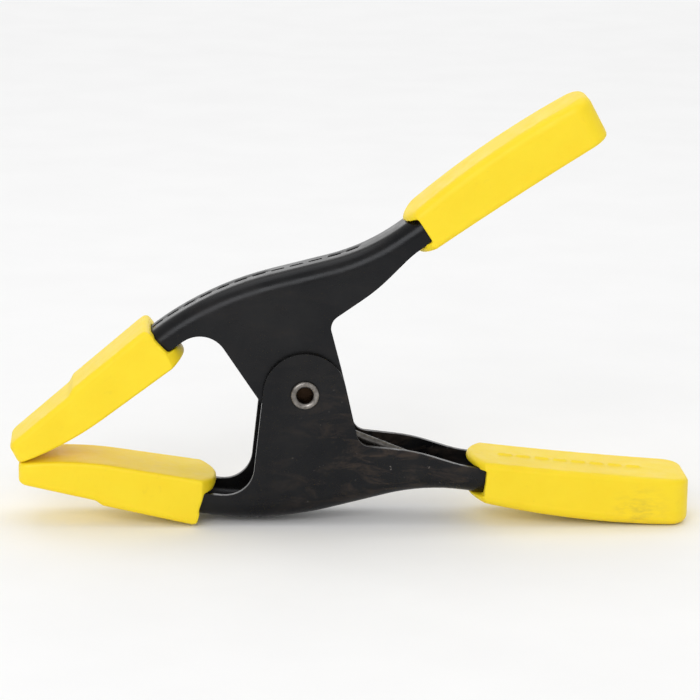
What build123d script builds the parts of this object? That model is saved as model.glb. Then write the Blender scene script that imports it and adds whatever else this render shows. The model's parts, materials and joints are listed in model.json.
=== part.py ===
from build123d import *
from math import acos, atan2, cos, degrees, hypot, radians, sin
import os

# Spring clamp: two stamped steel channels cross on one rivet, and a torsion spring round the
# rivet holds their jaws shut. A soft sleeve covers each jaw and each handle.
#
# X runs from the jaws to the handles, Y runs across and Z is up. The clamp stands on its lower
# arm. Profiles are drawn in the XZ plane with the pivot at (0, 0), in mm and degrees, as the
# lower arm stands. The upper arm is the same stamping, narrower, mirrored about a sloping line
# through the pivot. At the end everything moves so that the origin is under the box's middle.

# Arms
STEEL = 1.5
BEND_R = 4.0
LOWER_WIDTH = 17.1
UPPER_WIDTH = 13.7
MIRROR_TILT = 14.2
EAR_R = 10.2
BLOCK_TOP = 20.0

# Outside face of the web: three straight runs, each (slope, distance from the pivot)
JAW_RUN = (-13.3, 36.1)
MIDDLE_RUN = (14.0, 30.25)
HANDLE_RUN = (-7.7, 19.5)
JAW_BEND_R = 80.0
HANDLE_BEND_R = 50.0
WEB_JAW_END = -66.5
WEB_HANDLE_END = 92.0

# Inner edges of the cheeks: corner points and the radii that round them
JAW_EDGE_END = (-62.0, -20.9)
THROAT = (-12.9, -26.3)
THROAT_R = 7.0
NOTCH = (13.5, -12.85)
NOTCH_R = 3.5
HANDLE_KNEE = (27.6, -14.5)
HANDLE_KNEE_R = 45.0
GRIP_KNEE = (39.5, -18.25)
GRIP_KNEE_R = 25.0
HANDLE_EDGE_END = (92.0, -23.7)

# Stamped marks on the upper arm's web
MARK_DEPTH = 0.25
MARK_LENGTH = 3.4
MARK_WIDTH = 1.1
MARK_PITCH = 4.6
MARK_COUNT = 12
MARK_START = -24.0

# Rivet: a round head at +Y, and a hollow end rolled over at -Y
SHANK_R = 2.4
RUNNING_GAP = 0.06
HEAD_R = 4.6
HEAD_RIM = 0.5
HEAD_CROWN = 1.1
ROLL_R = 3.45
ROLL_WAIST = 0.15
ROLL_HEIGHT = 1.05
ROLL_MOUTH_R = 2.35
BLIND_R = 1.9
BLIND_DEPTH = 3.2

# Torsion spring: lower leg at -Y, upper leg at +Y
WIRE_R = 1.1
COIL_R = 5.8
COIL_HALF = 3.7
WHOLE_TURNS = 3
LEG_SLOPE = -21.6
LEG_GAP = 0.4
KNUCKLE = 0.04

# Jaw tips, with how much narrower the upper one is: the same sleeve, stretched less
TIP_FRONT = -69.8
TIP_FRONT_WIDTH = 17.2
TIP_REAR_WIDTH = 20.4
TIP_SLIMMER = 0.8
TIP_CORNER_R = 2.5
PAD_FRONT = (-71.0, -17.8)
PAD_BREAK = (-46.0, -17.95)
PAD_REAR = (-20.0, -22.05)
PAD_LIP = -21.3
TIP_BACK_FRONT = (-71.0, -22.5)
TIP_STEP_FRONT = (-51.0, -26.85)
TIP_STEP_REAR = (-49.2, -28.15)
TIP_BACK_REAR = (-26.3, -33.0)
TIP_REAR_KNEE = (-25.3, -28.8)
TIP_SIDE_TOP = (-24.4, -24.8)
TIP_SIDE_FOOT = (-25.9, -29.8)
TIP_LIP_SIDE = -25.0
TIP_STEP_R = 0.8
TIP_PAD_R = 0.8
TIP_BACK_R = 1.5
STEEL_GAP = 0.04

# Half height of a column that reaches past everything
TALL = 60

# Handle grips, with how much narrower and shorter the upper one is
GRIP_WIDTH = 21.0
GRIP_SLIMMER = 3.8
GRIP_END = 95.7
GRIP_SHORTER = 1.2
GRIP_CORNER_R = 5.0
GRIP_TOP = ((40.0, -16.3), (68.0, -19.3), (97.0, -21.6))
GRIP_FOOT = ((40.6, -26.6), (65.0, -31.2), (97.0, -33.2))
GRIP_LIP = 40.8
GRIP_SIDE_TOP = (45.0, -18.9)
GRIP_SIDE_FOOT = (44.4, -25.6)
GRIP_LIP_SIDE = 44.6
GRIP_TOP_R = 1.2
GRIP_FOOT_R = 2.4

# Raised marks on each grip's inner face
RIB_HEIGHT = 0.45
RIB_LENGTH = 3.2
RIB_WIDTH = 1.2
RIB_PITCH = 4.6
RIB_COUNT = 8
RIB_START = 50.5


def on_side(outline):
    """A closed outline of the XZ plane, as a face."""
    return Plane.XZ * make_face(outline)


def across(outline, width):
    """The outline's face as a plate of the given width, centred on Y = 0."""
    return extrude(on_side(outline), width / 2, both=True)


def from_above(outline):
    """A closed outline of the XY plane as a tall column."""
    return extrude(make_face(outline), TALL, both=True)


def crossing(run_a, run_b, inset):
    """Where two straight runs meet, each moved inwards by the inset."""
    (a, reach_a), (b, reach_b) = run_a, run_b
    reach_a -= inset
    reach_b -= inset
    a, b = radians(a), radians(b)
    spread = sin(b - a)
    x = (reach_b * cos(a) - reach_a * cos(b)) / spread
    z = (reach_b * sin(a) - reach_a * sin(b)) / spread
    return x, z


def on_run(run, x, inset):
    """The point of a straight run at x."""
    slope = radians(run[0])
    return x, (x * sin(slope) - run[1] + inset) / cos(slope)


def ear_tangent(corner, side):
    """Where a line from the corner touches the ear's circle."""
    spread = side * acos(EAR_R / hypot(*corner))
    angle = atan2(corner[1], corner[0]) + spread
    return EAR_R * cos(angle), EAR_R * sin(angle)


def web_corners(inset):
    """The web's line from the jaw end to the handle end."""
    return [
        on_run(JAW_RUN, WEB_JAW_END, inset),
        crossing(JAW_RUN, MIDDLE_RUN, inset),
        crossing(MIDDLE_RUN, HANDLE_RUN, inset),
        on_run(HANDLE_RUN, WEB_HANDLE_END, inset),
    ]


def block(width, inset):
    """Everything above the web's outside face, with both of its bends rounded."""
    corners = web_corners(inset)
    corners += [(WEB_HANDLE_END, BLOCK_TOP), (WEB_JAW_END, BLOCK_TOP)]
    radii = [0, JAW_BEND_R - inset, HANDLE_BEND_R + inset, 0, 0, 0]
    solid = across(FilletPolyline(*corners, radius=radii, close=True), width)
    low = [e for e in solid.edges() if e.center().Z < -15 and e.length > 3 and abs(e.center().Y) > 1]
    return fillet(low, BEND_R - inset)


def cheek_outline():
    """The side view of an arm, without its ear."""
    corners = web_corners(0)
    corners += [HANDLE_EDGE_END, GRIP_KNEE, HANDLE_KNEE, NOTCH]
    corners += [ear_tangent(NOTCH, 1), ear_tangent(THROAT, -1)]
    corners += [THROAT, JAW_EDGE_END]
    radii = [0, JAW_BEND_R, HANDLE_BEND_R, 0]
    radii += [0, GRIP_KNEE_R, HANDLE_KNEE_R, NOTCH_R, 0, 0, THROAT_R, 0]
    return FilletPolyline(*corners, radius=radii, close=True)


def envelope(width, swell=0):
    """An arm's outside shape with the channel filled."""
    side = across(cheek_outline(), width) + across(Circle(EAR_R).edge(), width)
    return side & block(width, -swell)


def arm(width, hole_r):
    """A channel with two ears, bored for the rivet."""
    hole = Plane.XZ * Cylinder(hole_r, 2 * width)
    return envelope(width) - block(width - 2 * STEEL, STEEL) - hole


def web_marks():
    """Shallow rounded dashes stamped along the web, in the lower arm's pose."""
    dash = SlotOverall(MARK_LENGTH, MARK_WIDTH)
    places = [Pos(MARK_START + i * MARK_PITCH, 0, 0) for i in range(MARK_COUNT)]
    columns = [place * extrude(dash, TALL, both=True) for place in places]
    skin = block(UPPER_WIDTH, 0) - block(UPPER_WIDTH, MARK_DEPTH)
    return [skin & column for column in columns]


def turned(outline):
    """An outline of the XY plane with X as the radius, turned about the rivet's axis."""
    return revolve(make_face(outline), Axis.Y)


def rivet():
    """A shank with a domed head at one end and a rolled, hollow end at the other."""
    face = LOWER_WIDTH / 2
    tip = -face - ROLL_HEIGHT
    rim_y = face + HEAD_RIM
    crown = (0, rim_y + HEAD_CROWN)
    dome = Polyline((HEAD_R, rim_y), (HEAD_R, face), (0, face), crown)
    dome += TangentArc(crown, (HEAD_R, rim_y), tangent=(1, 0))
    roll_mid = (ROLL_R + ROLL_MOUTH_R) / 2
    roll = Polyline((ROLL_R - ROLL_WAIST, -face), (0, -face), (0, tip), (roll_mid, tip))
    roll += TangentArc((roll_mid, tip), (ROLL_R - ROLL_WAIST, -face), tangent=(1, 0))
    mouth = Polyline((0, tip), (0, tip + BLIND_DEPTH), (BLIND_R, tip + BLIND_DEPTH), (BLIND_R, -face))
    mouth += TangentArc((roll_mid, tip), (BLIND_R, -face), tangent=(-1, 0))
    mouth += Line((0, tip), (roll_mid, tip))
    shank = Plane.XZ * Cylinder(SHANK_R, LOWER_WIDTH)
    return shank + turned(dome) + turned(roll) - turned(mouth)


def spring_leg(slope, side, arm_slope, y):
    """A straight leg from the coil to the inside of an arm's web, leaving the coil at a tangent."""
    start_angle = radians(slope - side * 90)
    start = Vector(COIL_R * cos(start_angle), y, COIL_R * sin(start_angle))
    along = Vector(cos(radians(slope)), 0, sin(radians(slope)))
    lean = radians(side * (arm_slope - slope))
    reach = HANDLE_RUN[1] - STEEL - WIRE_R - LEG_GAP - COIL_R * cos(lean)
    length = reach / sin(lean)
    middle = start + along * (length / 2)
    rod = Plane(middle, z_dir=along) * Cylinder(WIRE_R, length)
    return rod + Pos(start) * Sphere(WIRE_R + KNUCKLE), degrees(start_angle)


def spring():
    """A close coil round the rivet with a straight leg at each end."""
    low_leg, low_angle = spring_leg(LEG_SLOPE, 1, HANDLE_RUN[0], -COIL_HALF)
    high_slope = 2 * MIRROR_TILT - LEG_SLOPE
    high_arm = 2 * MIRROR_TILT - HANDLE_RUN[0]
    high_leg, high_angle = spring_leg(high_slope, -1, high_arm, COIL_HALF)
    turns = WHOLE_TURNS + ((low_angle - high_angle) % 360) / 360
    first = radians(low_angle)
    start = Plane((0, -COIL_HALF, 0), x_dir=(cos(first), 0, sin(first)), z_dir=(0, 1, 0))
    path = start * Helix(2 * COIL_HALF / turns, 2 * COIL_HALF, COIL_R)
    coil = sweep(Plane(path @ 0, z_dir=path % 0) * Circle(WIRE_R), path=path)
    return coil + low_leg + high_leg


def plan(front_x, front_w, rear_w, corner_r, lip_x, lip_side):
    """A sleeve seen from above: rounded corners at its closed end, a bowed lip at its open end."""
    ends = [(lip_side, -rear_w / 2), (front_x, -front_w / 2)]
    ends += [(front_x, front_w / 2), (lip_side, rear_w / 2)]
    sides = FilletPolyline(*ends, radius=[corner_r, corner_r])
    lip = ThreePointArc(ends[-1], (lip_x, 0), ends[0])
    return from_above(sides + lip)


def rim(solid, upward, reach):
    """The edges round a sleeve's upper side (upward 1) or lower side (upward -1)."""
    flat = [f for f in solid.faces() if upward * f.normal_at().Z > reach]
    edges = [e for f in flat for e in f.edges()]
    return [e for e in edges if sum(e.is_same(other) for other in edges) == 1]


def open_side(top, foot):
    """What is cut off a sleeve's side walls at its open end, between the lips."""
    corners = [top, foot, (0, foot[1]), (0, top[1])]
    return across(Polyline(*corners, close=True), 2 * GRIP_WIDTH)


def lower_tip(steel, slimmer=0):
    """A jaw's soft cap: a thick pad, a stepped back and a lip that overhangs the open end."""
    arc = TangentArc(PAD_BREAK, PAD_FRONT, tangent=Vector(*PAD_BREAK) - Vector(*PAD_REAR))
    side = Line(PAD_REAR, PAD_BREAK) + arc
    back = [PAD_FRONT, TIP_BACK_FRONT, TIP_STEP_FRONT, TIP_STEP_REAR, TIP_BACK_REAR]
    side += FilletPolyline(*back, radius=[0, TIP_STEP_R, TIP_STEP_R])
    side += Polyline(TIP_BACK_REAR, TIP_REAR_KNEE, PAD_REAR)
    shape = across(side, 2 * TIP_REAR_WIDTH)
    widths = (TIP_FRONT_WIDTH - slimmer, TIP_REAR_WIDTH - slimmer)
    shape &= plan(TIP_FRONT, *widths, TIP_CORNER_R, PAD_LIP, TIP_LIP_SIDE)
    shape = fillet(rim(shape, -1, 0.6), TIP_BACK_R)
    shape = fillet(rim(shape, 1, 0.8), TIP_PAD_R)
    return shape - open_side(TIP_SIDE_TOP, TIP_SIDE_FOOT) - steel


def lower_grip(steel, slimmer=0, shorter=0):
    """A handle's soft sleeve: bowed faces, round outer corners and raised marks inside."""
    side = ThreePointArc(*GRIP_TOP) + Line(GRIP_TOP[2], GRIP_FOOT[2])
    side += ThreePointArc(*reversed(GRIP_FOOT)) + Line(GRIP_FOOT[0], GRIP_TOP[0])
    shape = across(side, 2 * GRIP_WIDTH)
    width = GRIP_WIDTH - slimmer
    end = GRIP_END - shorter
    shape &= plan(end, width, width, GRIP_CORNER_R, GRIP_LIP, GRIP_LIP_SIDE)
    shape = fillet(rim(shape, -1, 0.8), GRIP_FOOT_R)
    shape = fillet(rim(shape, 1, 0.8), GRIP_TOP_R)
    return shape - open_side(GRIP_SIDE_TOP, GRIP_SIDE_FOOT) - steel


def grip_ribs():
    """A row of low rounded marks along a grip's inner face."""
    face = ThreePointArc(*GRIP_TOP)
    low = Pos(0, -RIB_HEIGHT) * face
    high = Pos(0, RIB_HEIGHT) * face
    skin = across(low + high + Line(low @ 0, high @ 0) + Line(low @ 1, high @ 1), RIB_WIDTH)
    dash = SlotOverall(RIB_LENGTH, RIB_WIDTH)
    places = [Pos(RIB_START + i * RIB_PITCH, 0, 0) for i in range(RIB_COUNT)]
    columns = [place * extrude(dash, TALL, both=True) for place in places]
    return [skin & column for column in columns]


def upper(solid):
    """A shape drawn for the lower arm, turned over into the upper arm's place."""
    tilt = radians(MIRROR_TILT)
    return mirror(solid, about=Plane((0, 0, 0), z_dir=(-sin(tilt), 0, cos(tilt))))


def parts():
    """Every piece by name, about the pivot."""
    low_steel = envelope(LOWER_WIDTH, STEEL_GAP)
    high_steel = envelope(UPPER_WIDTH, STEEL_GAP)
    return {
        "lower_arm": arm(LOWER_WIDTH, SHANK_R),
        "upper_arm": upper(arm(UPPER_WIDTH, SHANK_R + RUNNING_GAP) - web_marks()),
        "pivot_rivet": rivet(),
        "torsion_spring": spring(),
        "lower_jaw_tip": lower_tip(low_steel),
        "upper_jaw_tip": upper(lower_tip(high_steel, TIP_SLIMMER)),
        "lower_grip": lower_grip(low_steel) + grip_ribs(),
        "upper_grip": upper(lower_grip(high_steel, GRIP_SLIMMER, GRIP_SHORTER) + grip_ribs()),
    }


def main():
    pieces = parts()
    boxes = [piece.bounding_box() for piece in pieces.values()]
    left = min(box.min.X for box in boxes)
    right = max(box.max.X for box in boxes)
    home = Pos(-(left + right) / 2, 0, -min(box.min.Z for box in boxes))
    print("pivot at", home.position)
    os.makedirs("parts", exist_ok=True)
    for name, piece in pieces.items():
        placed = home * piece
        placed.label = name
        export_step(placed, f"parts/{name}.step")


main()
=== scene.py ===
import json
import math

import bmesh
import bpy
from mathutils import Matrix, Vector


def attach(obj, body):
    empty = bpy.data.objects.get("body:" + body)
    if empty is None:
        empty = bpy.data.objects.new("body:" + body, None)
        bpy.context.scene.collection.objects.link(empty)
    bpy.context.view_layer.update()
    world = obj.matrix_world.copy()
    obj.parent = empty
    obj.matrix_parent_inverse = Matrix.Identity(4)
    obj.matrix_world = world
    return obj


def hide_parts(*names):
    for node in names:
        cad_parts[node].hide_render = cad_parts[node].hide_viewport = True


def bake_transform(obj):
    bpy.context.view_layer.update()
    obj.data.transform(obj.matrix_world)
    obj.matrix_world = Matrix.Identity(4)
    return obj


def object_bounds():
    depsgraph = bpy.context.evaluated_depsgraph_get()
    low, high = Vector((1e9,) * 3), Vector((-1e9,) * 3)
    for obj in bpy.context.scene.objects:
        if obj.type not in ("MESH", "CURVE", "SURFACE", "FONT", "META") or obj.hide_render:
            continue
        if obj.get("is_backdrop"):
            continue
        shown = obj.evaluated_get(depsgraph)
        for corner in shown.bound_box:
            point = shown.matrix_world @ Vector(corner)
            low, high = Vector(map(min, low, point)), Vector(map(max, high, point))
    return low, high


MM = 0.001

# Camera: angles in degrees, lens in mm, distances in metres from the near ear's middle
AZIMUTH = -3.8
ELEVATION = 13.65
ROLL = 0.96
SENSOR_WIDTH = 36
LENS = 164.5714
DISTANCE = 0.7808
AIM_RIGHT = 0.0110
AIM_UP = 0.0110
EAR_FACE = 0.0085

# Torsion spring, in mm and degrees: its legs mirror each other about the line at MIRROR_TILT
WIRE_R = 1.1
COIL_R = 5.8
COIL_HALF = 3.7
MIRROR_TILT = 14.2
LOW_SLOPE = -21.6
HIGH_SLOPE = 2 * MIRROR_TILT - LOW_SLOPE
TURNS = 3.3011
LEG_LENGTH = 45.25
COIL_STEPS = 40
LEG_STEPS = 12
WIRE_SIDES = 20
CUT_EDGE = 0.15

# Edges and skins: distances in metres, the sharp angle in degrees
WELD_DISTANCE = 0.000002
SHEARED_EDGE = 0.0002
RIVET_EDGE = 0.00008
SHARP_ANGLE = 40
SLEEVE_GRID = 0.0003
SLEEVE_PASSES = 4

# Marks of wear and the rivet's hole, darkened with rust and painted shade, in metres from the
# pivot, and how far each reaches
RUB_PLACE = (0.022, -0.0085, -0.019)
RUB_REACH = 0.032
SMUDGE_PLACE = (0.083, -0.0105, -0.030)
SMUDGE_REACH = 0.009
HOLE_PLACE = (0, -0.0076, 0)
HOLE_CORE = 0.0022
HOLE_REACH = 0.0029

# Colours, linear, and the roughness of the rubbed patch as a grey
STEEL_DEEP = (0.0022, 0.0023, 0.0028)
STEEL_LIGHT = (0.0095, 0.0092, 0.0092)
STEEL_RUBBED = (0.062, 0.043, 0.031)
STEEL_SPECK = (0.22, 0.2, 0.18)
RUBBED_ROUGHNESS = (0.62, 0.62, 0.62)
STEEL_SHEEN = (0.93, 0.95, 1.0, 1.0)
EDGE_DARK = (0.06, 0.06, 0.064)
# The cut edges' light colour: bare metal where the blacking wore off, lightened further as a
# painted edge highlight
EDGE_WORN_AND_HIGHLIGHT = (0.26, 0.25, 0.24)
VINYL_DEEP = (0.93, 0.68, 0.010)
VINYL_LIGHT = (0.96, 0.72, 0.016)
VINYL_DIRT = (0.45, 0.3, 0.035)
VINYL_SMUDGE = (0.38, 0.28, 0.06)
PLATE_DARK = (0.12, 0.108, 0.098)
PLATE_BRIGHT = (0.32, 0.3, 0.28)
# The rivet hole's colour: rust, darkened further as painted shade inside the hole
HOLE_RUST_AND_SHADE = (0.022, 0.013, 0.008)
WIRE_DARK = (0.06, 0.056, 0.052)
WIRE_BRIGHT = (0.17, 0.16, 0.15)

# Stage, in metres and watts: place, size and power of each light
FLOOR_REACH = 6.0
FLOOR_GAP = 0.0001
SKY_STRENGTH = 0.66
LIGHTS_AIM = (0, 0, 0.05)
LIGHTS = {
    "overhead": ((0.0, 0.25, 1.1), (1.2, 0.8), 3.2),
    "front": ((-0.4, -1.2, 0.7), (0.9, 0.6), 6.6),
    "back": ((0.0, 1.6, 0.45), (2.6, 0.8), 5.2),
}

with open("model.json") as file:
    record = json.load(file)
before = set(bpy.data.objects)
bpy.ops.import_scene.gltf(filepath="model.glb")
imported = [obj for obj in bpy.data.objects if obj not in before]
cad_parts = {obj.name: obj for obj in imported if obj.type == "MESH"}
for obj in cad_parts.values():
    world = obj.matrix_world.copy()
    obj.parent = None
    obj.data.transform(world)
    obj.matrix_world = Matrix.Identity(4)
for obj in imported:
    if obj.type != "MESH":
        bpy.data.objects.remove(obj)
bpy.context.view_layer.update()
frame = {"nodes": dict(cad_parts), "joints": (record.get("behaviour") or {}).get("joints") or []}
hinge = frame["joints"][0]
PIVOT = Vector(hinge["pos_m"])


def from_pivot(place):
    return PIVOT + Vector(place)


# ---------------------------------------------------------------- materials

class Nodes:
    """Short calls for building one material's node tree."""

    def __init__(self, name):
        self.material = bpy.data.materials.new(name)
        self.material.use_nodes = True
        self.tree = self.material.node_tree
        self.shader = self.tree.nodes["Principled BSDF"]
        coordinates = self.tree.nodes.new("ShaderNodeTexCoord")
        self.place = coordinates.outputs["Object"]

    def link(self, source, target):
        self.tree.links.new(source, target)

    def set(self, **values):
        for key, value in values.items():
            self.shader.inputs[key.replace("_", " ")].default_value = value

    def noise(self, scale, detail=3.0, roughness=0.5, stretch=None, distortion=0.0):
        node = self.tree.nodes.new("ShaderNodeTexNoise")
        node.inputs["Scale"].default_value = scale
        node.inputs["Detail"].default_value = detail
        node.inputs["Roughness"].default_value = roughness
        node.inputs["Distortion"].default_value = distortion
        place = self.place
        if stretch:
            mapping = self.tree.nodes.new("ShaderNodeMapping")
            mapping.inputs["Scale"].default_value = stretch
            self.link(place, mapping.inputs["Vector"])
            place = mapping.outputs["Vector"]
        self.link(place, node.inputs["Vector"])
        return node.outputs["Fac"]

    def ramp(self, source, *stops):
        node = self.tree.nodes.new("ShaderNodeValToRGB")
        elements = node.color_ramp.elements
        while len(elements) < len(stops):
            elements.new(0.5)
        for element, (position, colour) in zip(elements, stops):
            element.position = position
            if not hasattr(colour, "__len__"):
                colour = (colour, colour, colour)
            element.color = (*colour, 1.0)
        self.link(source, node.inputs["Fac"])
        return node.outputs["Color"]

    def mix(self, amount, first, second):
        """The second colour over the first, by the amount."""
        node = self.tree.nodes.new("ShaderNodeMix")
        node.data_type = "RGBA"
        sockets = (("Factor", "VALUE", amount), ("A", "RGBA", first), ("B", "RGBA", second))
        for name, kind, value in sockets:
            self.feed(value, next(s for s in node.inputs if s.name == name and s.type == kind))
        return next(s for s in node.outputs if s.type == "RGBA")

    def feed(self, value, socket):
        if isinstance(value, bpy.types.NodeSocket):
            self.link(value, socket)
        elif hasattr(value, "__len__"):
            socket.default_value = (*value, 1.0)
        else:
            socket.default_value = value

    def times(self, first, second):
        return self.combined("MULTIPLY", first, second)

    def plus(self, first, second):
        return self.combined("ADD", first, second)

    def combined(self, operation, first, second):
        node = self.tree.nodes.new("ShaderNodeMath")
        node.operation = operation
        node.use_clamp = True
        self.feed(first, node.inputs[0])
        self.feed(second, node.inputs[1])
        return node.outputs[0]

    def near(self, centre, radius, core=0.0):
        """1 at a point of the frame and within the core, falling to 0 at the radius."""
        distance = self.tree.nodes.new("ShaderNodeVectorMath")
        distance.operation = "DISTANCE"
        self.link(self.place, distance.inputs[0])
        distance.inputs[1].default_value = centre
        ranged = self.tree.nodes.new("ShaderNodeMapRange")
        ranged.inputs["From Min"].default_value = radius
        ranged.inputs["From Max"].default_value = core
        self.link(distance.outputs["Value"], ranged.inputs["Value"])
        return ranged.outputs["Result"]

    def bump(self, height, distance, strength=1.0, below=None):
        node = self.tree.nodes.new("ShaderNodeBump")
        node.inputs["Strength"].default_value = strength
        node.inputs["Distance"].default_value = distance
        self.link(height, node.inputs["Height"])
        if below is not None:
            self.link(below, node.inputs["Normal"])
        return node.outputs["Normal"]


def black_steel():
    """Heat-blacked sheet: near black, oiled, rubbed brown and specked in one patch."""
    n = Nodes("black_steel")
    clouds = n.noise(60, 4, 0.6)
    base = n.ramp(clouds, (0.35, STEEL_DEEP), (0.7, STEEL_LIGHT))
    scuffs = n.noise(170, 6, 0.7, stretch=(0.5, 1, 1.4), distortion=0.8)
    worn = n.ramp(scuffs, (0.48, 0.0), (0.72, 1.0))
    patch = n.near(from_pivot(RUB_PLACE), RUB_REACH)
    amount = n.times(worn, n.plus(patch, 0.07))
    colour = n.mix(amount, base, STEEL_RUBBED)
    specks = n.ramp(n.noise(900, 2, 0.5), (0.72, 0.0), (0.76, 1.0))
    colour = n.mix(n.times(specks, n.times(patch, 0.7)), colour, STEEL_SPECK)
    n.link(colour, n.shader.inputs["Base Color"])
    rough = n.ramp(n.noise(120, 5, 0.65), (0.3, 0.22), (0.75, 0.36))
    n.link(n.mix(amount, rough, RUBBED_ROUGHNESS), n.shader.inputs["Roughness"])
    rolled = n.bump(n.noise(420, 3, 0.6, stretch=(0.25, 1, 1)), 0.0001, 0.5)
    n.link(n.bump(n.noise(3000, 2, 0.6), 0.00002, 0.3, rolled), n.shader.inputs["Normal"])
    n.set(Metallic=0.0, IOR=1.31, Specular_Tint=STEEL_SHEEN)
    return n.material


def sheared_steel():
    """The sheet's cut corners, where the blacking has rubbed through; their lighter colour is also
    a painted edge highlight.
    """
    n = Nodes("sheared_steel")
    # Rubbed-through bare metal, mixed with a painted edge highlight along the cut edges
    rub_and_highlight = n.ramp(n.noise(500, 4, 0.7), (0.38, EDGE_DARK), (0.66, EDGE_WORN_AND_HIGHLIGHT))
    n.link(rub_and_highlight, n.shader.inputs["Base Color"])
    n.link(n.ramp(n.noise(900, 3), (0.3, 0.32), (0.7, 0.5)), n.shader.inputs["Roughness"])
    n.link(n.bump(n.noise(2500, 2), 0.00003, 0.4), n.shader.inputs["Normal"])
    n.set(Metallic=0.6)
    return n.material


def soft_vinyl():
    """Flexible yellow vinyl: satin, slightly clouded, with a fine moulded grain."""
    n = Nodes("soft_vinyl")
    clouds = n.noise(90, 4, 0.6)
    base = n.ramp(clouds, (0.3, VINYL_DEEP), (0.7, VINYL_LIGHT))
    dirt = n.ramp(n.noise(260, 6, 0.72, distortion=0.5), (0.6, 0.0), (0.82, 1.0))
    base = n.mix(n.times(dirt, 0.18), base, VINYL_DIRT)
    smudge = n.near(from_pivot(SMUDGE_PLACE), SMUDGE_REACH)
    streaks = n.ramp(n.noise(420, 5, 0.7, stretch=(0.5, 1, 1.5)), (0.42, 0.0), (0.7, 1.0))
    base = n.mix(n.times(n.times(smudge, streaks), 0.5), base, VINYL_SMUDGE)
    n.link(base, n.shader.inputs["Base Color"])
    n.link(n.ramp(n.noise(300, 4, 0.6), (0.3, 0.40), (0.7, 0.56)), n.shader.inputs["Roughness"])
    swell = n.bump(n.noise(140, 2), 0.00025, 0.25)
    n.link(n.bump(n.noise(3600, 2, 0.55), 0.00002, 0.35, swell), n.shader.inputs["Normal"])
    n.set(IOR=1.42, Subsurface_Weight=0.18, Subsurface_Scale=0.0016)
    n.shader.inputs["Subsurface Radius"].default_value = (1.0, 0.6, 0.15)
    return n.material


def plated_steel():
    """Dull nickel on the rivet, with rust and painted shade darkening the inside of its hole."""
    n = Nodes("plated_steel")
    tone = n.ramp(n.noise(800, 5, 0.7), (0.3, PLATE_DARK), (0.7, PLATE_BRIGHT))
    # Painted shade and rust darken the disc of the rivet's hole
    hole_rust_and_shade = n.near(from_pivot(HOLE_PLACE), HOLE_REACH, core=HOLE_CORE)
    n.link(n.mix(hole_rust_and_shade, tone, HOLE_RUST_AND_SHADE), n.shader.inputs["Base Color"])
    n.link(n.ramp(n.noise(1200, 4), (0.3, 0.26), (0.75, 0.48)), n.shader.inputs["Roughness"])
    n.link(n.bump(n.noise(1500, 3, 0.6), 0.00006, 0.5), n.shader.inputs["Normal"])
    n.set(Metallic=1.0)
    return n.material


def spring_wire():
    """Oil-tempered wire, mottled dark grey."""
    n = Nodes("spring_wire")
    tone = n.ramp(n.noise(700, 4, 0.6), (0.3, WIRE_DARK), (0.7, WIRE_BRIGHT))
    n.link(tone, n.shader.inputs["Base Color"])
    n.link(n.ramp(n.noise(1000, 3), (0.3, 0.3), (0.7, 0.46)), n.shader.inputs["Roughness"])
    n.link(n.bump(n.noise(2200, 3), 0.00004, 0.4), n.shader.inputs["Normal"])
    n.set(Metallic=0.9)
    return n.material


def floor_paper():
    """Matt white paper, very slightly uneven."""
    n = Nodes("floor_paper")
    n.link(n.ramp(n.noise(30, 3), (0.3, 0.93), (0.7, 0.95)), n.shader.inputs["Base Color"])
    n.set(Roughness=0.9, Specular_IOR_Level=0.1)
    return n.material


# ------------------------------------------------------------------- pieces

def add(name, mesh):
    piece = bpy.data.objects.new(name, mesh)
    bpy.context.scene.collection.objects.link(piece)
    return piece


def dress(piece, *materials):
    piece.data.materials.clear()
    for material in materials:
        piece.data.materials.append(material)


def bevelled(node, width, material):
    """Joins a CAD node's faces and breaks its sharp edges, with a material for the new faces."""
    piece = frame["nodes"][node]
    weld = piece.modifiers.new("weld", "WELD")
    weld.merge_threshold = WELD_DISTANCE
    bevel = piece.modifiers.new("bevel", "BEVEL")
    bevel.width = width
    bevel.segments = 2
    bevel.limit_method = "ANGLE"
    bevel.angle_limit = math.radians(SHARP_ANGLE)
    bevel.harden_normals = True
    bevel.material = material


def sleeve(node, body, material):
    """A soft sleeve in place of its CAD solid, with every corner melted a little."""
    source = frame["nodes"][node]
    mesh = source.data.copy()
    mesh.materials.clear()
    draft = bmesh.new()
    draft.from_mesh(mesh)
    bmesh.ops.remove_doubles(draft, verts=draft.verts, dist=WELD_DISTANCE)
    draft.to_mesh(mesh)
    draft.free()
    piece = add("soft_" + node, mesh)
    remesh = piece.modifiers.new("remesh", "REMESH")
    remesh.mode = "VOXEL"
    remesh.voxel_size = SLEEVE_GRID
    smooth = piece.modifiers.new("smooth", "SMOOTH")
    smooth.factor = 0.5
    smooth.iterations = SLEEVE_PASSES
    bpy.context.view_layer.update()
    graph = bpy.context.evaluated_depsgraph_get()
    ready = bpy.data.meshes.new_from_object(piece.evaluated_get(graph))
    piece.modifiers.clear()
    piece.data = ready
    for polygon in ready.polygons:
        polygon.use_smooth = True
    dress(piece, material)
    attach(piece, body)
    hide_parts(node)


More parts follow.
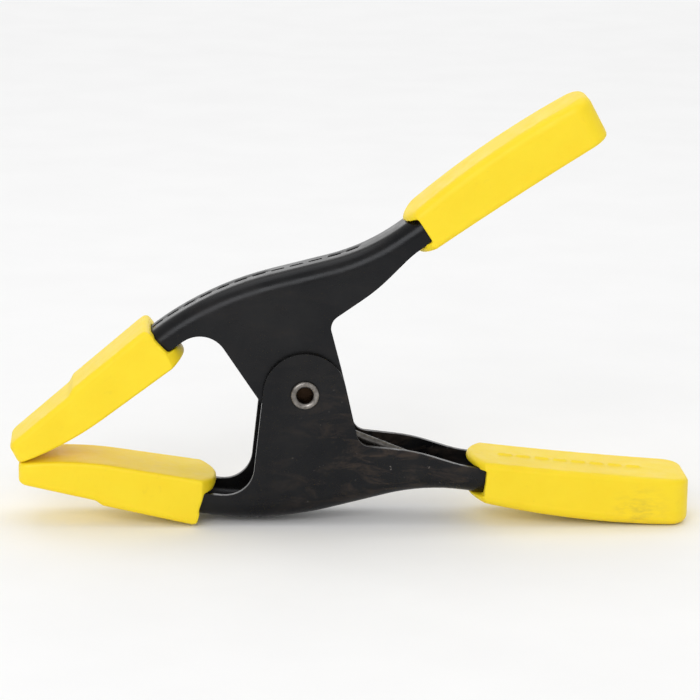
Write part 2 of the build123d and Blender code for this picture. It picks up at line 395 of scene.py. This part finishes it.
def spring_path():
    """The wire's centre line, from the lower leg's end to the upper leg's end."""
    def on_coil(angle, y):
        return Vector((COIL_R * math.cos(angle), y, COIL_R * math.sin(angle)))

    def along(slope):
        return Vector((math.cos(math.radians(slope)), 0, math.sin(math.radians(slope))))

    first = math.radians(LOW_SLOPE - 90)
    last = math.radians(HIGH_SLOPE + 90)
    low = on_coil(first, -COIL_HALF)
    high = on_coil(last, COIL_HALF)
    steps = int(TURNS * COIL_STEPS)
    path = [low + along(LOW_SLOPE) * LEG_LENGTH * (1 - i / LEG_STEPS) for i in range(LEG_STEPS)]
    for i in range(steps + 1):
        share = i / steps
        path.append(on_coil(first - share * TURNS * 2 * math.pi, COIL_HALF * (2 * share - 1)))
    path += [high + along(HIGH_SLOPE) * LEG_LENGTH * (i + 1) / LEG_STEPS for i in range(LEG_STEPS)]
    return [PIVOT + point * MM for point in path]


def tube(path, radius, sides):
    """A round wire along a path, with its cut ends slightly rounded."""
    mesh = bmesh.new()
    rings = []
    side = Vector((0, 1, 0))
    for i, point in enumerate(path):
        ahead = path[min(i + 1, len(path) - 1)] - path[max(i - 1, 0)]
        ahead.normalize()
        side = (side - ahead * side.dot(ahead)).normalized()
        up = ahead.cross(side)
        ring = []
        for k in range(sides):
            turn = 2 * math.pi * k / sides
            outward = side * math.cos(turn) + up * math.sin(turn)
            ring.append(mesh.verts.new(point + radius * outward))
        rings.append(ring)
    for near, far in zip(rings, rings[1:]):
        for k in range(sides):
            mesh.faces.new((near[k], near[(k + 1) % sides], far[(k + 1) % sides], far[k]))
    mesh.faces.new(list(reversed(rings[0])))
    mesh.faces.new(rings[-1])
    caps = [face for face in mesh.faces if len(face.verts) > 4]
    ends = [edge for cap in caps for edge in cap.edges]
    bmesh.ops.bevel(mesh, geom=ends, offset=radius * CUT_EDGE, segments=2, affect="EDGES")
    bmesh.ops.recalc_face_normals(mesh, faces=mesh.faces)
    made = bpy.data.meshes.new("wire")
    mesh.to_mesh(made)
    mesh.free()
    for polygon in made.polygons:
        polygon.use_smooth = len(polygon.vertices) == 4
    return made


def build():
    steel = black_steel()
    edge = sheared_steel()
    vinyl = soft_vinyl()
    for node in ("lower_arm", "upper_arm"):
        dress(frame["nodes"][node], steel, edge)
        bevelled(node, SHEARED_EDGE, 1)
    dress(frame["nodes"]["pivot_rivet"], plated_steel())
    bevelled("pivot_rivet", RIVET_EDGE, -1)
    for node, body in (
        ("lower_jaw_tip", "lower_half"),
        ("upper_jaw_tip", "upper_half"),
        ("lower_grip", "lower_half"),
        ("upper_grip", "upper_half"),
    ):
        sleeve(node, body, vinyl)
    spring = add("spring_wire", tube(spring_path(), WIRE_R * MM, WIRE_SIDES))
    dress(spring, spring_wire())
    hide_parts("torsion_spring")
    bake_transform(spring)


# ------------------------------------------------------- floor, light, camera

def floor():
    mesh = bpy.data.meshes.new("floor")
    signs = [(-1, -1), (1, -1), (1, 1), (-1, 1)]
    corners = [(x * FLOOR_REACH, y * FLOOR_REACH, 0) for x, y in signs]
    mesh.from_pydata(corners, [], [(0, 1, 2, 3)])
    plane = add("floor", mesh)
    plane.location.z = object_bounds()[0][2] - FLOOR_GAP
    dress(plane, floor_paper())
    plane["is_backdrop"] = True


def area_light(name, place, size, power):
    light = bpy.data.lights.new(name, "AREA")
    light.shape = "RECTANGLE"
    light.size, light.size_y = size
    light.energy = power
    lamp = bpy.data.objects.new(name, light)
    lamp.location = place
    lamp.rotation_euler = (Vector(LIGHTS_AIM) - Vector(place)).to_track_quat("-Z", "Y").to_euler()
    bpy.context.scene.collection.objects.link(lamp)


def lights():
    world = bpy.data.worlds.new("studio")
    world.use_nodes = True
    sky = world.node_tree.nodes["Background"]
    sky.inputs["Color"].default_value = (1, 1, 1, 1)
    sky.inputs["Strength"].default_value = SKY_STRENGTH
    bpy.context.scene.world = world
    for name, (place, size, power) in LIGHTS.items():
        area_light(name, place, size, power)


def camera():
    azimuth, elevation, roll = (math.radians(a) for a in (AZIMUTH, ELEVATION, ROLL))
    back = Vector((
        math.sin(azimuth) * math.cos(elevation),
        -math.cos(azimuth) * math.cos(elevation),
        math.sin(elevation),
    ))
    level = Vector((math.cos(azimuth), math.sin(azimuth), 0))
    upright = back.cross(level)
    right = math.cos(roll) * level + math.sin(roll) * upright
    up = math.cos(roll) * upright - math.sin(roll) * level
    near_end = from_pivot((0, -EAR_FACE, 0))
    place = near_end + right * AIM_RIGHT + up * AIM_UP + back * DISTANCE
    data = bpy.data.cameras.new("camera")
    data.sensor_width = SENSOR_WIDTH
    data.lens = LENS
    data.clip_start = 0.01
    eye = bpy.data.objects.new("camera", data)
    eye.matrix_world = Matrix((
        (right.x, up.x, back.x, place.x),
        (right.y, up.y, back.y, place.y),
        (right.z, up.z, back.z, place.z),
        (0, 0, 0, 1),
    ))
    bpy.context.scene.collection.objects.link(eye)
    bpy.context.scene.camera = eye


build()
floor()
lights()
camera()
bpy.context.scene.view_settings.view_transform = "Standard"
